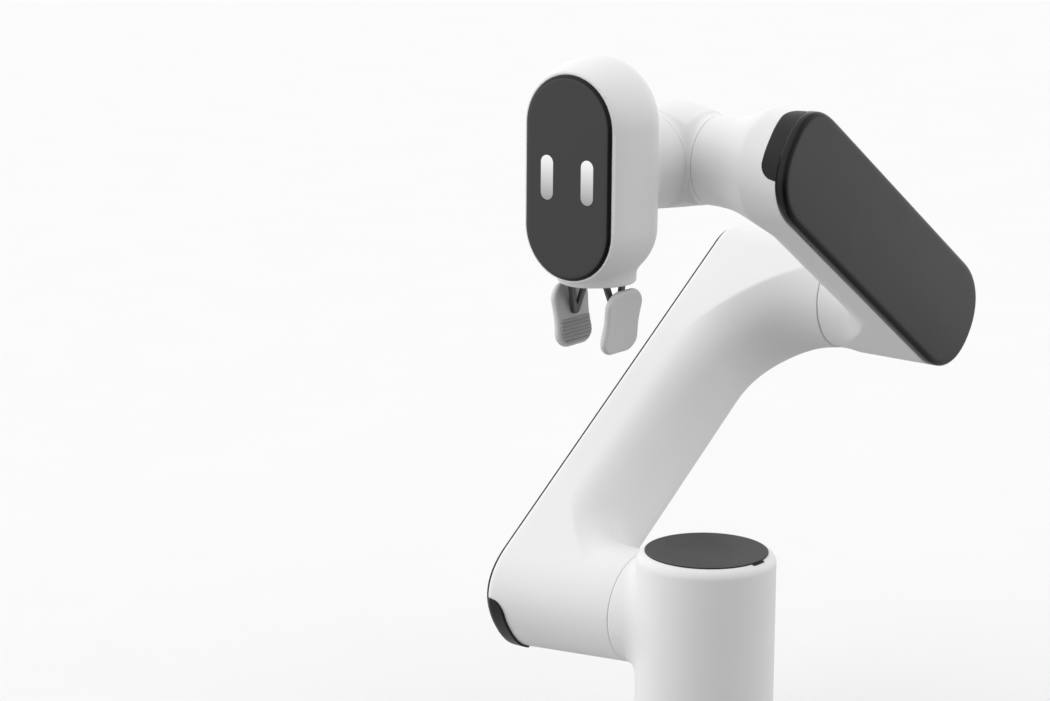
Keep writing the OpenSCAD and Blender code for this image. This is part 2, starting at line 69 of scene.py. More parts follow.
def box_top(node):
    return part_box(node)[1][2] / MM


class Frame:
    """A local frame: z along a joint, x along the link."""

    def __init__(self, origin, x, z):
        self.o = np.asarray(origin, float)
        self.x, self.z = unit(x), unit(z)
        self.y = np.cross(self.z, self.x)

    def world(self, p):
        p = np.asarray(p, float)
        return self.o + p[:, :1] * self.x + p[:, 1:2] * self.y + p[:, 2:3] * self.z


SHOULDER, ELBOW, WRIST, NECK = (pivot(n) for n in ("shoulder", "elbow", "wrist", "head_roll"))
ALONG_UPPER = unit([0, ELBOW[1] - SHOULDER[1], ELBOW[2] - SHOULDER[2]])
ALONG_FORE = unit([0, WRIST[1] - ELBOW[1], WRIST[2] - ELBOW[2]])
UPPER_LEN = float(np.linalg.norm(ELBOW - SHOULDER))
FORE_LEN = float(np.linalg.norm((WRIST - ELBOW)[1:]))
UP, LEFT = (0, 0, 1), (-1, 0, 0)
AT_ROW = Frame((0, 0, 0), (1, 0, 0), UP)
AT_SHOULDER = Frame(SHOULDER, ALONG_UPPER, LEFT)
AT_ELBOW = Frame(ELBOW, ALONG_FORE, (1, 0, 0))
AT_NECK = Frame(NECK, UP, (0, -1, 0))
STUB_R = 40.95      # the round stubs that meet at the shoulder and at the elbow
SEAM = 0.15         # half of the gap at each turning seam
EDGE = 0.35         # round of the seam's edges
OFF_SEAM = SEAM + EDGE
LIP = 5.0           # how far the wall inside a seam reaches back


# ---------- distance functions ----------
def smin(a, b, k):
    """Union with a soft blend of width k."""
    h = np.maximum(k - np.abs(a - b), 0) / k
    return np.minimum(a, b) - h * h * k / 4


def smax(a, b, k):
    """Intersection with a soft blend of width k."""
    return -smin(-a, -b, k)


def rmax(a, b, r):
    """Intersection with an edge of radius r."""
    return np.minimum(np.maximum(a, b), -r) + np.hypot(np.maximum(a + r, 0), np.maximum(b + r, 0))


def ease(t):
    t = np.clip(t, 0, 1)
    return t * t * (3 - 2 * t)


def fade(distance, over, least=0.02):
    """Nearly nothing at a seam and 1 beyond over, so that a blend leaves the seam's circle alone."""
    return np.clip(distance / over, least, 1)


def slot(x, y, x0, x1):
    return np.hypot(x - np.clip(x, x0, x1), y)


def norm(x, y, n, stretch=1.0):
    """Distance in which circles are squared (n is 2 for a true circle) and stretched along x."""
    return (np.abs(x / stretch) ** n + np.abs(y) ** n) ** (1 / n)


# ---------- meshing ----------
CORNERS = [(i, j, k) for i in (0, 1) for j in (0, 1) for k in (0, 1)]
EDGES = [(a, b) for a in CORNERS for b in CORNERS if sum(b) - sum(a) == 1
         and sum(abs(p - q) for p, q in zip(a, b)) == 1]
RING = ((0, 0), (1, 0), (1, 1), (0, 1))     # the four cells round a grid edge, in order
EVENINGS = 4        # rounds that even a mesh out


def gradient(f, p, step=0.02):
    g = np.empty_like(p)
    for i in range(3):
        d = np.zeros(3)
        d[i] = step
        a, b = p + d, p - d
        g[:, i] = (f(*a.T) - f(*b.T)) / (2 * step)
    return g


def box_axes(lo, hi, h):
    """Sample points along a box's axes, about h apart and half a step beyond both ends."""
    axes = []
    for low, high in zip(lo, hi):
        n = max(2, round((high - low) / h))
        step = (high - low) / n
        axes.append(low - step / 2 + step * np.arange(n + 2))
    return axes


def at_corner(v, c):
    """The grid's values at one corner of every cell."""
    return v[tuple(slice(i, i + n - 1) for i, n in zip(c, v.shape))]


def cell_points(v, axes, active):
    """A point in each active cell: the mean of where the surface cuts the cell's edges."""
    where = np.argwhere(active)
    pos, count = np.zeros((len(where), 3)), np.zeros(len(where))
    for a, b in EDGES:
        va, vb = at_corner(v, a)[active], at_corner(v, b)[active]
        cross = (va < 0) != (vb < 0)
        t = np.where(cross, va / np.where(va == vb, 1, va - vb), 0)
        pa = np.stack([axes[i][where[:, i] + a[i]] for i in range(3)], 1)
        pb = np.stack([axes[i][where[:, i] + b[i]] for i in range(3)], 1)
        pos += np.where(cross[:, None], pa + t[:, None] * (pb - pa), 0)
        count += cross
    return pos / count[:, None]


def cell_quads(inside, index):
    """A quad round each grid edge that the surface cuts, turned to face outwards."""
    quads = []
    for d in range(3):
        e, g = (d + 1) % 3, (d + 2) % 3
        first = [slice(None)] * 3
        first[e], first[g] = slice(1, -1), slice(1, -1)
        second = list(first)
        first[d], second[d] = slice(0, -1), slice(1, None)
        a, b = inside[tuple(first)], inside[tuple(second)]
        for flip, hit in ((False, a & ~b), (True, ~a & b)):
            at = np.argwhere(hit)
            ring = []
            for de, dg in RING:
                c = at.copy()
                c[:, e] += de
                c[:, g] += dg
                ring.append(index[tuple(c.T)])
            q = np.stack(ring, 1)
            quads.append(q[:, ::-1] if flip else q)
    quads = np.concatenate(quads)
    return quads[(quads >= 0).all(1)]


def sides(quads):
    """The sides of all quads, as pairs of points."""
    return np.concatenate([quads[:, [i, (i + 1) % 4]] for i in range(4)])


def onto(f, p, free, h, rounds):
    """Moves points onto f = 0 along their free axes, by at most h each round."""
    for _ in range(rounds):
        g = gradient(f, p) * free
        step = -(f(*p.T) / np.maximum((g * g).sum(1), 1e-3))[:, None] * g
        size = np.linalg.norm(step, axis=1, keepdims=True)
        p = p + step * np.minimum(1, h / np.maximum(size, 1e-9))
    return p


def evened(f, pos, quads, free, h):
    """Evens the points out over f = 0. A pinned point follows only its pinned neighbours."""
    held = free.min(1) == 0
    a, b = sides(quads).T
    kept = ~held[a] | held[b]
    a, b = a[kept], b[kept]
    back = ~held[b] | held[a]
    pos = onto(f, pos, free, h, 4)
    for _ in range(EVENINGS):
        total, n = np.zeros_like(pos), np.zeros(len(pos))
        for to, source in ((a, b), (b[back], a[back])):
            np.add.at(total, to, pos[source])
            np.add.at(n, to, 1)
        move = total / np.maximum(n, 1)[:, None] - pos
        pos = onto(f, pos + 0.5 * move * free, free, h, 2)
    return pos


def iso(f, lo, hi, h, pins=()):
    """Quads on f = 0. pins lists (axis, side) of box faces where the surface ends in a clean loop."""
    axes = box_axes(lo, hi, h)
    v = f(*np.meshgrid(*axes, indexing="ij"))
    inside = sum((at_corner(v, c) < 0).astype(int) for c in CORNERS)
    active = (inside > 0) & (inside < len(CORNERS))
    index = np.full(active.shape, -1)
    index[active] = np.arange(active.sum())
    quads = cell_quads(v < 0, index)
    used, order = np.unique(quads, return_inverse=True)
    quads = order.reshape(quads.shape)
    pos, where = cell_points(v, axes, active)[used], np.argwhere(active)[used]
    free, pinned = np.ones_like(pos), {}
    for axis, side in pins:
        layer = where[:, axis] == (0 if side < 0 else active.shape[axis] - 1)
        pos[layer, axis] = lo[axis] if side < 0 else hi[axis]
        free[layer, axis] = 0
        pinned[(axis, side)] = layer
    return evened(f, pos, quads, free, h), quads, pinned


def loops(quads):
    """The open edges of a mesh, in order."""
    both = set(map(tuple, sides(quads).tolist()))
    following = {a: b for a, b in both if (b, a) not in both}
    out = []
    while following:
        at, ring = next(iter(following)), []
        while at in following:
            ring.append(at)
            at = following.pop(at)
        out.append(ring)
    return out


def rimmed(f, pos, quads, pinned, edge=EDGE, land=3.5):
    """Rolls each open loop over a small round, across a flat end and down an inner lip."""
    points, faces, count = [pos], list(map(tuple, quads.tolist())), len(pos)
    rows = [(edge * (1 - math.cos(t)), edge * math.sin(t)) for t in np.radians((30, 60, 90))]
    rows += [(edge + 0.6, edge), (edge + land, edge), (edge + land, edge - LIP)]
    for ring in loops(quads):
        axis, side = next(key for key, layer in pinned.items() if layer[ring].all())
        out = np.zeros(3)
        out[axis] = side
        g = gradient(f, pos[ring])
        g[:, axis] = 0
        inward = -g / np.linalg.norm(g, axis=1, keepdims=True)
        last = ring
        for inset, rise in rows:
            n = len(ring)
            now = range(count, count + n)
            points.append(pos[ring] + inward * inset + out * rise)
            faces += [(last[(i + 1) % n], last[i], now[i], now[(i + 1) % n]) for i in range(n)]
            last, count = now, count + n
    return np.concatenate(points), faces


def sweep(rows, closed=True, flip=False):
    """Quads between equal rows of points. A closed row joins its last point to its first."""
    n = len(rows[0])
    faces = []
    for r in range(len(rows) - 1):
        for i in range(n if closed else n - 1):
            j = (i + 1) % n
            q = (r * n + i, r * n + j, (r + 1) * n + j, (r + 1) * n + i)
            faces.append(q[::-1] if flip else q)
    return np.concatenate(rows), faces


def outline(x0, x1, arc, line, shape):
    """Centres and directions round a slot from x0 to x1: shape is the distance its ends are drawn in."""
    ts = [(x1, t) for t in np.linspace(-90, 90, arc)]
    ts += [(x, 90) for x in np.linspace(x1, x0, line)[1:-1]]
    ts += [(x0, t) for t in np.linspace(90, 270, arc)]
    ts += [(x, 270) for x in np.linspace(x0, x1, line)[1:-1]]
    c = np.array([[x, 0] for x, _ in ts])
    a = np.radians([t for _, t in ts])
    d = np.stack([np.cos(a), np.sin(a)], 1)
    return c, d / shape(d[:, 0], d[:, 1])[:, None]


def slot_piece(x0, x1, profile, arc=40, line=30, shape=np.hypot):
    """A body with round ends: profile lists (half width, height) from the outer edge in."""
    c, d = outline(x0, x1, arc, line, shape)
    return sweep([np.column_stack([c + r * d, np.full(len(c), z)]) for r, z in profile])


def quarter(r, z, inset, rise, n):
    """The n points after (r, z) of a quarter round that turns in by inset and up by rise."""
    ts = math.pi / 2 * np.arange(1, n + 1) / n
    return [(r - inset * (1 - math.cos(t)), z + rise * math.sin(t)) for t in ts]


def round_profile(r, z0, z1, edge, lean=1.0):
    """From the foot of the side wall up over a rounded edge to the middle of the top."""
    rows = [(r, z0), (r, (z0 + z1 - edge) / 2), (r, z1 - edge)]
    rows += quarter(r, z1 - edge, edge * lean, edge, 6)
    return rows + [((r - edge * lean) * s, z1) for s in (0.96, 0.8, 0.5, 0.25, 0)]


# ---------- materials ----------
def map_range(nodes, links, value, start, end):
    """A node that carries value from the range start to the range end."""
    node = nodes.new("ShaderNodeMapRange")
    for side, low, high in (("From", *start), ("To", *end)):
        node.inputs[side + " Min"].default_value = low
        node.inputs[side + " Max"].default_value = high
    links.new(value, node.inputs["Value"])
    return node


def material(name, colour, rough, metallic=0.0, specular=0.5, tint=0.03, tint_scale=9.0, grain=0.04,
             grain_scale=1500.0, rough_step=0.05, stretch=(1, 1, 1), glow=None):
    """A surface with cloudy colour and roughness and a fine grain. glow fades its light up along z."""
    m = bpy.data.materials.new(name)
    m.use_nodes = True
    nodes, links = m.node_tree.nodes, m.node_tree.links
    shader = nodes["Principled BSDF"]
    shader.inputs["Metallic"].default_value = metallic
    shader.inputs["Specular IOR Level"].default_value = specular
    where = nodes.new("ShaderNodeTexCoord")
    place = nodes.new("ShaderNodeMapping")
    place.inputs["Scale"].default_value = stretch
    links.new(where.outputs["Object"], place.inputs["Vector"])

    def noise(scale, detail):
        n = nodes.new("ShaderNodeTexNoise")
        n.inputs["Scale"].default_value = scale
        n.inputs["Detail"].default_value = detail
        links.new(place.outputs["Vector"], n.inputs["Vector"])
        return n.outputs["Fac"]

    ramp = nodes.new("ShaderNodeValToRGB")
    for element, position, k in zip(ramp.color_ramp.elements, (0.35, 0.65), (1 - tint, 1 + tint)):
        element.position = position
        element.color = [min(1, c * k) for c in colour] + [1]
    links.new(noise(tint_scale, 3), ramp.inputs["Fac"])
    links.new(ramp.outputs["Color"], shader.inputs["Base Color"])
    patches = map_range(nodes, links, noise(tint_scale * 5, 4), (0, 1),
                        (rough - rough_step, rough + rough_step))
    links.new(patches.outputs["Result"], shader.inputs["Roughness"])
    bump = nodes.new("ShaderNodeBump")
    bump.inputs["Strength"].default_value = grain
    bump.inputs["Distance"].default_value = 0.0002
    links.new(noise(grain_scale, 2), bump.inputs["Height"])
    links.new(bump.outputs["Normal"], shader.inputs["Normal"])
    if glow:
        split = nodes.new("ShaderNodeSeparateXYZ")
        links.new(where.outputs["Object"], split.inputs["Vector"])
        shader.inputs["Emission Color"].default_value = (1, 1, 1, 1)
        light = map_range(nodes, links, split.outputs["Z"], *glow)
        links.new(light.outputs["Result"], shader.inputs["Emission Strength"])
    return m


EYE_Z = NECK[2] - 1             # the eyes' middle
EYE_GLOW = (((EYE_Z - 16) * MM, (EYE_Z + 16) * MM), (0.02, 0.62))      # from these heights to this light
LOOKS = {
    "white_casing": dict(colour=(0.78, 0.78, 0.78), rough=0.42, tint=0.012, grain=0.05),
    "black_cover": dict(colour=(0.009, 0.009, 0.0095), rough=0.3, specular=0.22, tint=0.1, grain=0.08,
                        grain_scale=2400),
    "black_edge": dict(colour=(0.005, 0.005, 0.005), rough=0.16, specular=0.22, tint=0.1, grain=0.0),
    "cast_aluminium": dict(colour=(0.6, 0.61, 0.62), rough=0.42, metallic=1.0, tint=0.06, grain=0.3,
                           grain_scale=700),
    "steel": dict(colour=(0.55, 0.55, 0.56), rough=0.3, metallic=1.0, tint=0.05, grain=0.15, grain_scale=260,
                  stretch=(1, 1, 14)),
    "brass": dict(colour=(0.75, 0.55, 0.26), rough=0.3, metallic=1.0, tint=0.06, grain=0.15, grain_scale=600),
    "cast_base": dict(colour=(0.11, 0.113, 0.12), rough=0.5, metallic=0.35, tint=0.09, grain=0.35,
                      grain_scale=900),
    "rubber": dict(colour=(0.025, 0.025, 0.026), rough=0.75, tint=0.15, grain=0.4, grain_scale=900),
    "circuit_board": dict(colour=(0.02, 0.13, 0.06), rough=0.45, tint=0.2, tint_scale=60),
    "black_plastic": dict(colour=(0.02, 0.02, 0.021), rough=0.45, tint=0.1, grain=0.2),
    "display_glass": dict(colour=(0.02, 0.02, 0.0205), rough=0.25, specular=0.42, grain=0.0,
                          rough_step=0.02),
    "display_panel": dict(colour=(0.04, 0.04, 0.045), rough=0.5, tint=0.1),
    "lit_eyes": dict(colour=(0.35, 0.35, 0.35), rough=0.4, tint=0.0, grain=0.0, glow=EYE_GLOW),
    "dark_metal": dict(colour=(0.09, 0.09, 0.095), rough=0.38, metallic=0.6, tint=0.08, grain=0.15,
                       grain_scale=900),
    "paddle_grey": dict(colour=(0.62, 0.62, 0.625), rough=0.5, tint=0.02, grain=0.12),
    "pad_rubber": dict(colour=(0.4, 0.4, 0.405), rough=0.62, tint=0.04, grain=0.25, grain_scale=1100),
}
MATS = {name: material(name, **look) for name, look in LOOKS.items()}
for entry in frame["record"]["subparts"]:
    dressed = NODES[entry["node"]].data.materials
    dressed.clear()
    dressed.append(MATS[entry["material_slot"]])


def piece(name, at, pos, faces, body, slot_name, *nodes, edge=None):
    """Adds a mesh to a body. edge names a material for the faces that turn away from at's z."""
    mesh = bpy.data.meshes.new(name)
    mesh.from_pydata((at.world(pos) * MM).tolist(), [], [tuple(map(int, f)) for f in faces])
    mesh.validate()
    mesh.polygons.foreach_set("use_smooth", [True] * len(mesh.polygons))
    obj = bpy.data.objects.new(name, mesh)
    bpy.context.scene.collection.objects.link(obj)
    mesh.materials.append(MATS[slot_name])
    if edge:
        mesh.materials.append(MATS[edge])
        for polygon in mesh.polygons:
            polygon.material_index = int(np.dot(polygon.normal, at.z) < 0.97)
    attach(obj, body)
    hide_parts(*nodes)


FINE = 1.2       # the meshes' grid

# ---------- column ----------
COLUMN_R, COLUMN_RIM = 50.0, 7.5
COLUMN_TOP = box_top("column_shell")
SEAM_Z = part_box("column_shell")[0][2] / MM - 0.2        # the CAD casing starts 0.2 over the yaw seam
STUB_BLEND = 10.0


def column(x, y, z):
    body = rmax(np.hypot(x, y) - COLUMN_R, z - COLUMN_TOP, COLUMN_RIM)
    stub = np.maximum(np.hypot(y, z - SHOULDER[2]) - STUB_R, x)
    return smin(body, stub, STUB_BLEND * fade(x - SHOULDER[0], 4))


mesh = iso(column, (SHOULDER[0] + OFF_SEAM, -54, SEAM_Z + OFF_SEAM), (54, 54, COLUMN_TOP + 2), FINE,
           pins=[(0, -1), (2, -1)])
piece("column_body", AT_ROW, *rimmed(column, *mesh), "column", "white_casing", "column_shell")

# The lid lies in the column's top, and its tab wraps over the rim on the side away from the arm.
LID_R, LID_EDGE = 44.3, 0.4
LID_FACE = COLUMN_TOP + 0.6
LID_DISH = 0.5                  # the lid's middle is this much lower than its edge
TAB_HALF = math.radians(9)
TAB_R = COLUMN_RIM + 0.25       # the tab stands a little off the rim's round


def lid_profile():
    rows = [(LID_R - LID_EDGE, COLUMN_TOP - 2.5), (LID_R, COLUMN_TOP - 1.5), (LID_R, LID_FACE - LID_EDGE),
            (LID_R - 0.3 * LID_EDGE, LID_FACE - 0.3 * LID_EDGE), (LID_R - LID_EDGE, LID_FACE)]
    return rows + [(LID_R * s, LID_FACE - LID_DISH * (1 - s)) for s in (0.97, 0.9, 0.75, 0.5, 0.25, 0)]


def lid_tab():
    """A small tongue that runs from the lid over the column's rounded rim, with its edges sunk."""
    us = np.linspace(-1, 1, 49)
    sink = np.where(np.abs(us) > 0.985, 0.9, 0.0)
    path = [(LID_R - 1.5, LID_FACE - 0.02), (LID_R + 0.4, COLUMN_TOP + 0.4)]
    for a in np.radians(np.linspace(80, 60, 5)):
        out, up = TAB_R * math.cos(a) - COLUMN_RIM, TAB_R * math.sin(a) - COLUMN_RIM
        path.append((COLUMN_R + out, COLUMN_TOP + up))
    rows = []
    for (r, z), s in zip(path, np.linspace(0, 1, len(path))):
        angle = us * TAB_HALF * (1 - 0.16 * max(0, (s - 0.55) / 0.45) ** 3)
        rows.append(np.column_stack([(r - sink) * np.cos(angle), (r - sink) * np.sin(angle), z - sink * 0.3]))
    rows.append(rows[-1] * [0.985, 0.985, 1])
    return sweep(rows, closed=False, flip=True)


piece("top_lid", AT_ROW, *slot_piece(0, 0, lid_profile(), arc=72, line=2), "column", "black_cover",
      "top_cover")
piece("lid_tab", AT_ROW, *lid_tab(), "column", "black_cover", "top_cover")

# ---------- upper arm ----------
UPPER_R, UPPER_TOP, UPPER_RIM = 42.4, 106.0, 5.0
UPPER_BACK, UPPER_ROUND = 50.0, 31.0        # the bar's back, and the round of its edges
ELBOW_BLEND, SHOULDER_BLEND = 64.0, 30.0
SQUARE = (2.45, 1.13)           # the shoulder's end squares off and lengthens towards its panel


def shoulder_end(x, y):
    return np.where(x < 0, norm(x, y, *SQUARE), np.hypot(x, y))


def upper_arm(x, y, z):
    s = np.clip(z / UPPER_TOP, 0, 1)
    near_r = STUB_R + 0.05
    end = norm(np.minimum(x, 0), y, 2 + (SQUARE[0] - 2) * s, 1 + (SQUARE[1] - 1) * s)
    flat = np.where(x < 0, end, slot(x, y, 0, UPPER_LEN)) - near_r - (UPPER_R - near_r) * s
    bar = rmax(flat, UPPER_BACK - z, UPPER_ROUND)
    low = np.where(x < 0, flat - 0.05, np.hypot(x, y) - STUB_R)
    high = np.hypot(x - UPPER_LEN, y) - STUB_R
    whole = smin(smin(bar, high, ELBOW_BLEND), low, SHOULDER_BLEND)
    return rmax(np.maximum(flat, whole), z - UPPER_TOP, UPPER_RIM)


def wrap_tab(radius, top, deep, reach, corner, centre, turn, shape, lift=0.12, edge=0.0):
    """A tab on a link's round end, which runs deep down the side from the panel's edge at top.

    It spans reach to both sides of turn, with its lower corners rounded, and lies lift off the side.
    edge is the radius that the link's own edge has there."""
    us = np.linspace(-1, 1, 61)
    half = reach * radius
    over = np.clip(np.abs(us) * half - (half - corner), 0, corner)
    drop = deep - corner + np.sqrt(corner ** 2 - over ** 2)
    angle = turn + us * reach
    swell = radius * (1 / shape(np.cos(angle), np.sin(angle)) - 1)

    def row(r, z):
        return np.column_stack([centre + (r + swell) * np.cos(angle), (r + swell) * np.sin(angle), z])

    rows = []
    for s in np.linspace(0, 1, 14):
        depth = s * drop
        t = np.arccos(np.clip(1 - depth / max(edge, 1e-9), 0, 1))
        rows.append(row(np.where(depth < edge, radius - edge + (edge + lift) * np.sin(t), radius + lift),
                        np.where(depth < edge, top - edge + (edge + lift) * np.cos(t), top - depth)))
    rows.append(row(radius - 0.8, top - drop - 0.15))
    return sweep(rows, closed=False)


mesh = iso(upper_arm, (-52, -52, OFF_SEAM), (UPPER_LEN + 50, 52, UPPER_TOP + 4), FINE * 1.25, pins=[(2, -1)])
piece("upper_arm_body", AT_SHOULDER, *rimmed(upper_arm, *mesh), "upper_arm", "white_casing",
      "upper_arm_shell")
profile = round_profile(UPPER_R - 3.5, UPPER_TOP - 1, UPPER_TOP + 2.6, 1.4)
piece("upper_arm_panel", AT_SHOULDER, *slot_piece(0, UPPER_LEN, profile, line=60, shape=shoulder_end),
      "upper_arm", "black_cover", "upper_arm_cover")
tab = wrap_tab(UPPER_R, UPPER_TOP, deep=15.5, reach=math.radians(39), corner=11, centre=0,
               turn=math.radians(174), shape=shoulder_end, lift=0.45, edge=UPPER_RIM)
piece("upper_arm_tab", AT_SHOULDER, *tab, "upper_arm", "black_cover", "upper_arm_cover")

# ---------- forearm ----------
FORE_R, FORE_TOP = 41.4, 83.0
FORE_BACK, FORE_ROUND = 36.0, 28.0
WRIST_R = 32.7
FORE_STEP = float(WRIST[0] - ELBOW[0])      # how far the wrist's seam lies over the elbow's, along z


def shear(x, z):
    """The forearm's lower side steps out from the elbow's seam to the wrist's."""
    return FORE_STEP * ease((x - 85) / 60) * np.clip(1 - z / 30, 0, 1)


def fore_ends(x, y):
    """The forearm's ends are a little squared, most of all at the wrist's upper corner."""
    return norm(x, y, np.where((x > 0) & (y < 0), 2.75, 2.2))


def forearm(x, y, z):
    z = z + shear(x, z)
    flat = fore_ends(np.where(x < 0, x, np.maximum(x - FORE_LEN, 0)), y) - FORE_R
    bar = rmax(flat, FORE_BACK - z, FORE_ROUND)
    elbow = np.hypot(x, y) - STUB_R
    wrist = np.hypot(x - FORE_LEN, y) - WRIST_R - 1.5 * ease((z - 6) / 30)
    return np.maximum(flat, smin(smin(bar, elbow, 34), wrist, 20 * fade(z - 3, 10)))


mesh = iso(forearm, (-46, -46, OFF_SEAM), (FORE_LEN + 46, 46, FORE_TOP - 0.2), FINE * 1.1,
           pins=[(2, -1), (2, 1)])
points, faces = rimmed(forearm, *mesh, edge=0.25)
points[:, 2] += shear(points[:, 0], points[:, 2])
piece("forearm_body", AT_ELBOW, points, faces, "forearm", "white_casing", "forearm_shell")
profile = [(FORE_R - 1, FORE_TOP - 0.4), (FORE_R - 0.25, FORE_TOP + 0.05)]
profile += round_profile(FORE_R, FORE_TOP + 0.3, FORE_TOP + 8.6, 3.4, lean=1.15)
piece("forearm_panel", AT_ELBOW, *slot_piece(0, FORE_LEN, profile, line=50, shape=fore_ends), "forearm",
      "black_cover", "forearm_cover", edge="black_edge")
tab = wrap_tab(FORE_R, FORE_TOP + 0.2, deep=13.2, reach=math.radians(41.5), corner=12, centre=FORE_LEN,
               turn=math.radians(-6.5), shape=fore_ends)
piece("forearm_tab", AT_ELBOW, *tab, "forearm", "black_cover", "forearm_cover")

# ---------- wrist ----------
NECK_R = 35.9
DOME_FROM, DOME_LEN = 7.0, 29.0     # the closed back starts this far behind the wrist's axis
SLIMMER = 2.6                       # the lower half narrows by this much towards the back


def wrist(x, y, z):
    dz = z - WRIST[2]
    back = WRIST[1] + DOME_FROM
    slim = NECK_R - SLIMMER * np.clip((y - NECK[1]) / 34, 0, 1) * (dz < 0)
    neck = np.maximum(np.hypot(x - NECK[0], dz) - slim, y - back)
    dome = (np.sqrt(((x - NECK[0]) / NECK_R) ** 2 + ((y - back) / DOME_LEN) ** 2 + (dz / slim) ** 2) - 1) * 30
    stub = np.maximum(np.hypot(y - WRIST[1], dz) - WRIST_R, NECK[0] - x)
    return smin(np.minimum(neck, dome), stub, 19 * fade(np.minimum(WRIST[0] - x, y - NECK[1]), 9, 0.01))


mesh = iso(wrist, (NECK[0] - 42, NECK[1] + OFF_SEAM, WRIST[2] - 42),
           (WRIST[0] - OFF_SEAM, WRIST[1] + 42, WRIST[2] + 42), FINE, pins=[(1, -1), (0, 1)])
piece("wrist_body", AT_ROW, *rimmed(wrist, *mesh), "wrist", "white_casing", "wrist_shell")

# ---------- head ----------
FACE_R, OVAL = 37.5, 36.0           # the display's half width, and half of its straight side
FACE_Z = NECK[1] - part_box("display_glass")[0][1] / MM
RIM_Z = FACE_Z - 2.6                # where the casing ends and the display starts
BACK_Z, BACK_ROUND = 33.5, 23.0
HEAD_R, SWELL = 38.4, 8.8           # the casing swells by this much behind the display
PIN_UP = 10.0                       # the fingers' pins over the collar's lower rim
PINS = {side: pivot(side + "_finger_swing") for side in ("left", "right")}
GRIP = (PINS["left"] + PINS["right"]) / 2 - [0, 0, PIN_UP]      # the middle of the collar's lower rim
COLLAR_R, COLLAR_WALL = 28.4, 2.8
COLLAR_DROP, COLLAR_AT = NECK[2] - GRIP[2], NECK[1] - GRIP[1]
POCKET = 40.0                       # depth of the collar's hollow


def head(x, y, z):
    d = slot(x, y, -OVAL, OVAL)
    low = np.clip((-OVAL - x) / np.maximum(d, 1), 0, 1)
    t = np.clip((z - 55) / (RIM_Z - 55), 0, 1)
    swell = SWELL * np.cos(t * math.pi / 2) ** 0.6 * (1 - 0.7 * low * low)
    body = rmax(d - HEAD_R - swell, BACK_Z - z, BACK_ROUND)
    neck = np.maximum(np.hypot(x, y) - NECK_R, z - 60)
    around = np.hypot(y, z - COLLAR_AT)
    collar = np.maximum(rmax(around - COLLAR_R, -COLLAR_DROP - x, 1.6), x)
    pocket = rmax(around - COLLAR_R + COLLAR_WALL, x + COLLAR_DROP - POCKET, 2)
    return smax(smin(smin(body, neck, 9), collar, 7), -pocket, 1.2)


mesh = iso(head, (-86, -50, OFF_SEAM), (86, 50, RIM_Z - 0.25), FINE, pins=[(2, -1), (2, 1)])
piece("head_body", AT_NECK, *rimmed(head, *mesh, land=4.0), "head", "white_casing", "head_shell")
glass = [(FACE_R - 0.6, RIM_Z - 1.5), (FACE_R, RIM_Z - 0.6), (FACE_R, RIM_Z + 0.1)]
glass += quarter(FACE_R, RIM_Z + 0.1, 3.8, 2.5, 8)
glass += [((FACE_R - 3.8) * s, FACE_Z) for s in (0.93, 0.7, 0.45, 0.2, 0)]
piece("head_glass", AT_NECK, *slot_piece(-OVAL, OVAL, glass, arc=64, line=30), "head",
      "display_glass", "display_glass", edge="black_edge")
EYE_R, EYE_HALF, EYE_OUT = 5.4, 10.6, 17.7
for side, label in ((-1, "right"), (1, "left")):
    profile = round_profile(EYE_R, FACE_Z - 0.3, FACE_Z + 0.08, 0.06)
    middle = EYE_Z - NECK[2]
    points, faces = slot_piece(middle - EYE_HALF, middle + EYE_HALF, profile, arc=24, line=6)
    points[:, 1] += side * EYE_OUT
    piece("eye_" + label, AT_NECK, points, faces, "head", "lit_eyes", "eyes")

# ---------- gripper ----------
PADDLE_H, PADDLE_W, PADDLE_T, CORNER = 47.0, 41.2, 5.2, 13.0
PADDLE_BACK = 1.45                      # the paddle's inner face, behind the ribs
WAIST_R, WAIST_OUT = 26.9, 26.0         # the round that narrows a paddle, and how far out it lies
TILT = math.radians(8.5)
PIN_X = (PINS["right"][0] - PINS["left"][0]) / 2
APEX = np.array([18.8, 0, -24.2])       # where a fork meets its paddle, from the collar's rim
RIBS, PITCH_OF_RIBS, RIBS_FROM = 7, 2.6, 5.2
RIB_DEPTH, PAD_BACK = 1.15, 1.7
PAD_INSET, PAD_EDGE = 2.2, 0.9
EARS = 13.0                             # the forks' ears lie this far from the middle
ARM_R, FOOT_APART = 2.9, 1.6


def paddle_outline(u, v, grow=0.0):
    u = u - 2
    qu = np.abs(u) - PADDLE_H / 2 + CORNER
    qv = np.abs(v) - PADDLE_W / 2 + CORNER - 0.03 * u
    box = np.hypot(np.maximum(qu, 0), np.maximum(qv, 0)) + np.minimum(np.maximum(qu, qv), 0) - CORNER
    waist = WAIST_R - np.hypot(u - 2, np.abs(v) - PADDLE_W / 2 - WAIST_OUT)
    return smax(box, waist, 5) - grow


def paddle(u, v, w):
    half = PADDLE_T / 2
    return rmax(paddle_outline(u, v), np.abs(w - PADDLE_BACK - half) - half, 2.3)


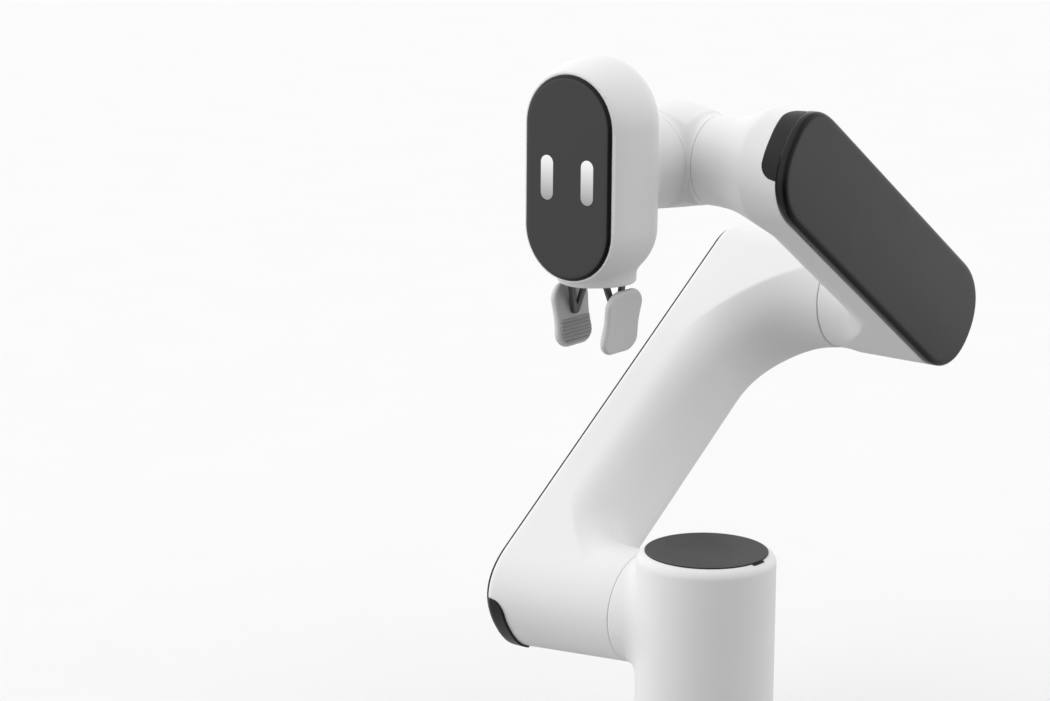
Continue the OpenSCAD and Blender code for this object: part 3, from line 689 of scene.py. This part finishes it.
def ribbed_pad():
    """A thin rubber pad with rounded ribs across it, on the paddle's inner face."""
    us = np.linspace(RIBS_FROM, RIBS_FROM + RIBS * PITCH_OF_RIBS, RIBS * 14 + 1)
    vs = np.linspace(0, 22, 881)
    inside = paddle_outline(us[:, None], vs[None, :], -PAD_INSET) < 0
    halves = [vs[row].max() if row.any() else 0 for row in inside]
    across = np.concatenate([[-1], np.linspace(-1, 1, 41), [1]])
    rows = []
    for u, half in zip(us, halves):
        if half < 1:
            continue
        v = across * half
        rib = abs(math.sin(math.pi * (u - RIBS_FROM) / PITCH_OF_RIBS)) ** 0.8
        edge = np.sqrt(1 - np.clip((np.abs(v) - half + PAD_EDGE) / PAD_EDGE, 0, 1) ** 2)
        w = RIB_DEPTH * (1 - rib * edge)
        w[[0, -1]] = PAD_BACK
        rows.append(np.column_stack([np.full(len(v), u), v, w]))
    first, last = rows[0].copy(), rows[-1].copy()
    first[:, 2] = last[:, 2] = PAD_BACK
    return sweep([first] + rows + [last], closed=False)


def fork(x, y, z):
    """Two flat arms that run from the pin down to one foot on the paddle."""
    middle = PIN_X + (APEX[0] - PIN_X) * np.clip((PIN_UP - z) / (PIN_UP - APEX[2]), 0, 1)
    arms = []
    for s in (-1, 1):
        ear, foot = np.array([s * EARS, PIN_UP]), np.array([s * FOOT_APART, APEX[2]])
        run = foot - ear
        h = np.clip(((y - ear[0]) * run[0] + (z - ear[1]) * run[1]) / (run @ run), 0, 1)
        arms.append(np.hypot(y - ear[0] - h * run[0], z - ear[1] - h * run[1]) - ARM_R + 0.5 * h)
    flat = rmax(smin(*arms, 2.5), np.abs(x - middle) - 1.5, 0.7)
    boss = rmax(np.hypot(x - PIN_X, z - PIN_UP) - 3.4, np.abs(np.abs(y) - EARS) - 2.3, 0.5)
    return smin(flat, boss, 1.0)


for side, sign in (("left", -1), ("right", 1)):
    body = side + "_finger"
    at_hand = Frame(GRIP, (sign, 0, 0), UP)
    at_pad = Frame(GRIP + APEX * [sign, 1, 1], (-sign * math.sin(TILT), 0, -math.cos(TILT)),
                   (sign * math.cos(TILT), 0, -math.sin(TILT)))
    mesh = iso(paddle, (-24, -22, 0), (28, 22, 8), FINE * 0.55)
    piece(side + "_paddle_body", at_pad, *mesh[:2], body, "paddle_grey", side + "_paddle")
    piece(side + "_pad_ribs", at_pad, *ribbed_pad(), body, "pad_rubber", side + "_pad")
    mesh = iso(fork, (8, -19, -31), (24, 19, 16), FINE * 0.5)
    piece(side + "_fork_arms", at_hand, *mesh[:2], body, "dark_metal", side + "_fork")

# ---------- base ----------
FOOT_TOP = box_top("foot")
FLARE = 34.0                            # radius of the hollow curve from the column to the skirt
SKIRT_R, SKIRT_TRIM = COLUMN_R + FLARE, 8.0     # the skirt is cut this far inside its thin edge
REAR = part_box("power_inlet")[1][1] / MM - 2.0       # the connector panel's face
PANEL_W, PANEL_H, PANEL_ROUND = 74.0, 25.0, 6.0
PORT_DEPTH = 9.0
PORTS = [box_middle(name) for name in ("power_inlet", "data_port", "power_button")]


def base(x, y, z):
    r = np.hypot(x, y)
    top = FOOT_TOP + FLARE
    flared = FLARE - np.hypot(np.minimum(r, SKIRT_R) - SKIRT_R, z - top) + np.maximum(r - SKIRT_R, 0)
    skirt = rmax(np.where(z < top, flared, r - COLUMN_R), r - SKIRT_R + SKIRT_TRIM, 1.0)
    past = (np.abs(x) - PANEL_W / 2, np.abs(y - REAR / 2) - REAR / 2, z - FOOT_TOP - PANEL_H)
    box = np.sqrt(sum(np.maximum(p + PANEL_ROUND, 0) ** 2 for p in past)) - PANEL_ROUND
    inlet, jack, knob = ((x - port[0], z - port[2]) for port in PORTS)
    holes = np.minimum(np.hypot(*inlet) - 8.1, np.hypot(*knob) - 6.3)
    holes = np.minimum(holes, np.maximum(np.abs(jack[0]) - 8, np.abs(jack[1]) - 7))
    return smax(smin(skirt, box, 10), -np.maximum(holes, REAR - PORT_DEPTH - y), 0.8)


mesh = iso(base, (-86, -86, FOOT_TOP + 0.3), (86, 92, SEAM_Z - OFF_SEAM), FINE * 1.25,
           pins=[(2, -1), (2, 1)])
piece("base_body", AT_ROW, *rimmed(base, *mesh, edge=0.3), "base", "white_casing", "base_shell")

# ---------- floor, light and camera ----------
scene = bpy.context.scene
FLOOR_HALF = 14.0
floor_mesh = bpy.data.meshes.new("floor")
floor_mesh.from_pydata([(FLOOR_HALF * x, FLOOR_HALF * y, 0) for x, y in ((-1, -1), (1, -1), (1, 1), (-1, 1))],
                       [], [(0, 1, 2, 3)])
floor_mesh.materials.append(material("floor_paper", (0.8, 0.8, 0.8), 0.8, tint=0.004, grain=0.02))
floor = bpy.data.objects.new("floor", floor_mesh)
scene.collection.objects.link(floor)
floor.visible_diffuse = False
floor.visible_glossy = False


def dome(base, lobes):
    """A soft studio dome: each lobe adds strength towards its direction, which is fixed in the room."""
    world = bpy.data.worlds.new("studio")
    world.use_nodes = True
    nodes, links = world.node_tree.nodes, world.node_tree.links
    where = nodes.new("ShaderNodeTexCoord")
    total = None
    for direction, spread, strength in lobes:
        dot = nodes.new("ShaderNodeVectorMath")
        dot.operation = "DOT_PRODUCT"
        dot.inputs[1].default_value = tuple(unit(direction))
        links.new(where.outputs["Generated"], dot.inputs[0])
        start = 0 if total else base
        lobe = map_range(nodes, links, dot.outputs["Value"], spread, (start, start + strength))
        lobe.interpolation_type = "SMOOTHSTEP"
        if total:
            add = nodes.new("ShaderNodeMath")
            links.new(total, add.inputs[0])
            links.new(lobe.outputs["Result"], add.inputs[1])
            total = add.outputs["Value"]
        else:
            total = lobe.outputs["Result"]
    nodes["Background"].inputs["Color"].default_value = (1, 1, 1, 1)
    links.new(total, nodes["Background"].inputs["Strength"])
    scene.world = world


dome(0.34, [((0, 0, 1), (-0.45, 0.25), 0.53),
            ((0, 0, 1), (0.2, 1.0), 0.06),
            ((-0.82, -0.35, 0.15), (-0.2, 1.0), 0.74),
            ((0.55, 0.82, 0.0), (0.1, 1.0), 0.42),
            ((0.8, -0.6, 0.0), (0.3, 1.0), -0.28)])


def set_up(name, data, x, z, at):
    """Adds an object with its own x and z in these directions, at a place in metres."""
    obj = bpy.data.objects.new(name, data)
    m = np.eye(4)
    m[:3, 0], m[:3, 1], m[:3, 2], m[:3, 3] = x, np.cross(z, x), z, at
    obj.matrix_world = Matrix(m.tolist())
    scene.collection.objects.link(obj)
    return obj


def card(name, at, facing, along, width, height, power):
    """A soft card seen only in reflections, which shades the black panels across their width."""
    data = bpy.data.lights.new(name, "AREA")
    data.shape, data.size, data.size_y, data.energy = "RECTANGLE", width, height, power
    z = -unit(facing)
    obj = set_up(name, data, unit(np.cross(np.cross(z, along), z)), z, at)
    obj.visible_camera = obj.visible_diffuse = False


MIRRORED = np.array((0.6, 0.764, -0.234))       # where the forearm's panel reflects the camera's view to
CARD_OUT, CARD_UP = 0.5, 0.12                   # the card's distance along that, and up past the panel
card("panel_card", box_middle("forearm_cover") * MM + CARD_OUT * MIRRORED - CARD_UP * AT_ELBOW.y,
     facing=-MIRRORED, along=ALONG_FORE, width=0.45, height=0.2, power=0.22)
scene.view_settings.view_transform = "Standard"
scene.view_settings.look = "None"

TURN, PITCH, ROLL = np.radians((38.21, 13.54, 0.38))
CAMERA_AT = (1.3727, -1.9546, 0.9236)
right = np.array([math.cos(TURN), math.sin(TURN), 0])
ahead = np.array([-math.sin(TURN) * math.cos(PITCH), math.cos(TURN) * math.cos(PITCH), -math.sin(PITCH)])
above = np.cross(right, ahead)
camera_data = bpy.data.cameras.new("camera")
camera_data.sensor_width = 36.0
camera_data.lens = 119.56
camera_data.clip_end = 100
rolled = math.cos(ROLL) * right + math.sin(ROLL) * above
scene.camera = set_up("camera", camera_data, rolled, -ahead, CAMERA_AT)
